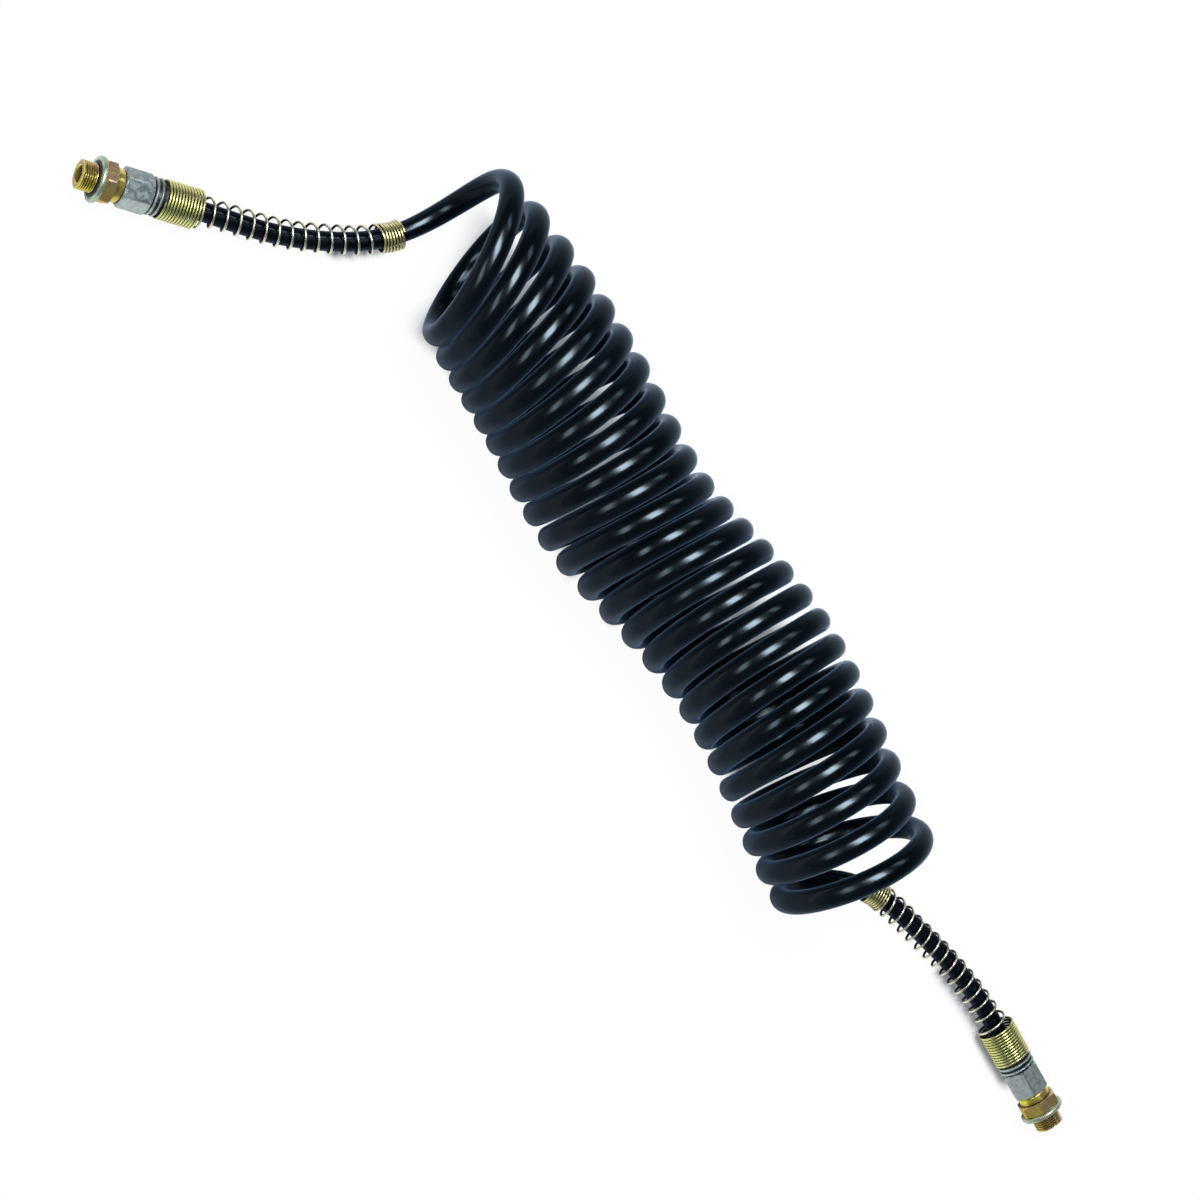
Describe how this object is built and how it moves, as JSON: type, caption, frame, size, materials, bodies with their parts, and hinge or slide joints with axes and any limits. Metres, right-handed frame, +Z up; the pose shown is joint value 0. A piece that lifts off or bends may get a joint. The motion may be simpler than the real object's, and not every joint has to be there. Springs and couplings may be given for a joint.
{
  "type": "coiled air hose assembly",
  "caption": "Coiled plastic air hose whose straight ends each pass through a spring kink guard into a union nut and a threaded stud with a seal.",
  "frame": {"origin": "on the surface that the hose lies on, at the centre of the box around the two end pieces and their spring guards; the free hose isn't counted", "axes": "+X from the first end to the second along the coil, +Z up"},
  "size_m": [0.8676, 0.2483, 0.1085],
  "materials": {
    "hose": "satin",
    "yellow_zinc": "satin",
    "silver_zinc": "satin",
    "ring_zinc": "satin",
    "spring_wire": "polished",
    "seal": "matte",
    "brass": "satin"
  },
  "bodies": {
    "hose": {"hose_coil": "hose", "hose_tail_a": "hose", "connector_body_a": "yellow_zinc", "o_ring_a": "seal", "retaining_ring_a": "ring_zinc", "ferrule_a": "brass", "support_sleeve_a": "brass"},
    "guard_a": {"guard_spring_a": "spring_wire"},
    "nut_a": {"union_nut_a": "silver_zinc"},
    "end_b": {"hose_tail_b": "hose", "connector_body_b": "yellow_zinc", "o_ring_b": "seal", "retaining_ring_b": "ring_zinc", "ferrule_b": "brass", "support_sleeve_b": "brass"},
    "guard_b": {"guard_spring_b": "spring_wire"},
    "nut_b": {"union_nut_b": "silver_zinc"}
  },
  "joints": [
    {"name": "coil_stretch", "type": "slide", "parent": "hose", "child": "end_b", "axis": [1, 0, 0], "range_m": [0, 3], "stiffness_N_per_m": 12, "deforming": ["hose_coil"]},
    {"name": "nut_travel_a", "type": "slide", "parent": "hose", "child": "guard_a", "axis": [0.7545, 0.6558, -0.0262], "range_m": [0, 0.0091], "deforming": ["guard_spring_a"]},
    {"name": "nut_turn_a", "type": "hinge", "parent": "guard_a", "child": "nut_a", "pos_m": [-0.40134, -0.08739, 0.01386], "axis": [0.7545, 0.6558, -0.0262], "range_deg": [0, 2160]},
    {"name": "nut_travel_b", "type": "slide", "parent": "end_b", "child": "guard_b", "axis": [-0.999, 0.0349, -0.0262], "range_m": [0, 0.0091], "deforming": ["guard_spring_b"]},
    {"name": "nut_turn_b", "type": "hinge", "parent": "guard_b", "child": "nut_b", "pos_m": [0.39753, 0.10376, 0.01386], "axis": [-0.999, 0.0349, -0.0262], "range_deg": [0, 2160]}
  ],
  "couplings": [
    {"joint": "nut_travel_a", "follows": "nut_turn_a", "m_per_rad": 0.00023873},
    {"joint": "nut_travel_b", "follows": "nut_turn_b", "m_per_rad": 0.00023873}
  ]
}
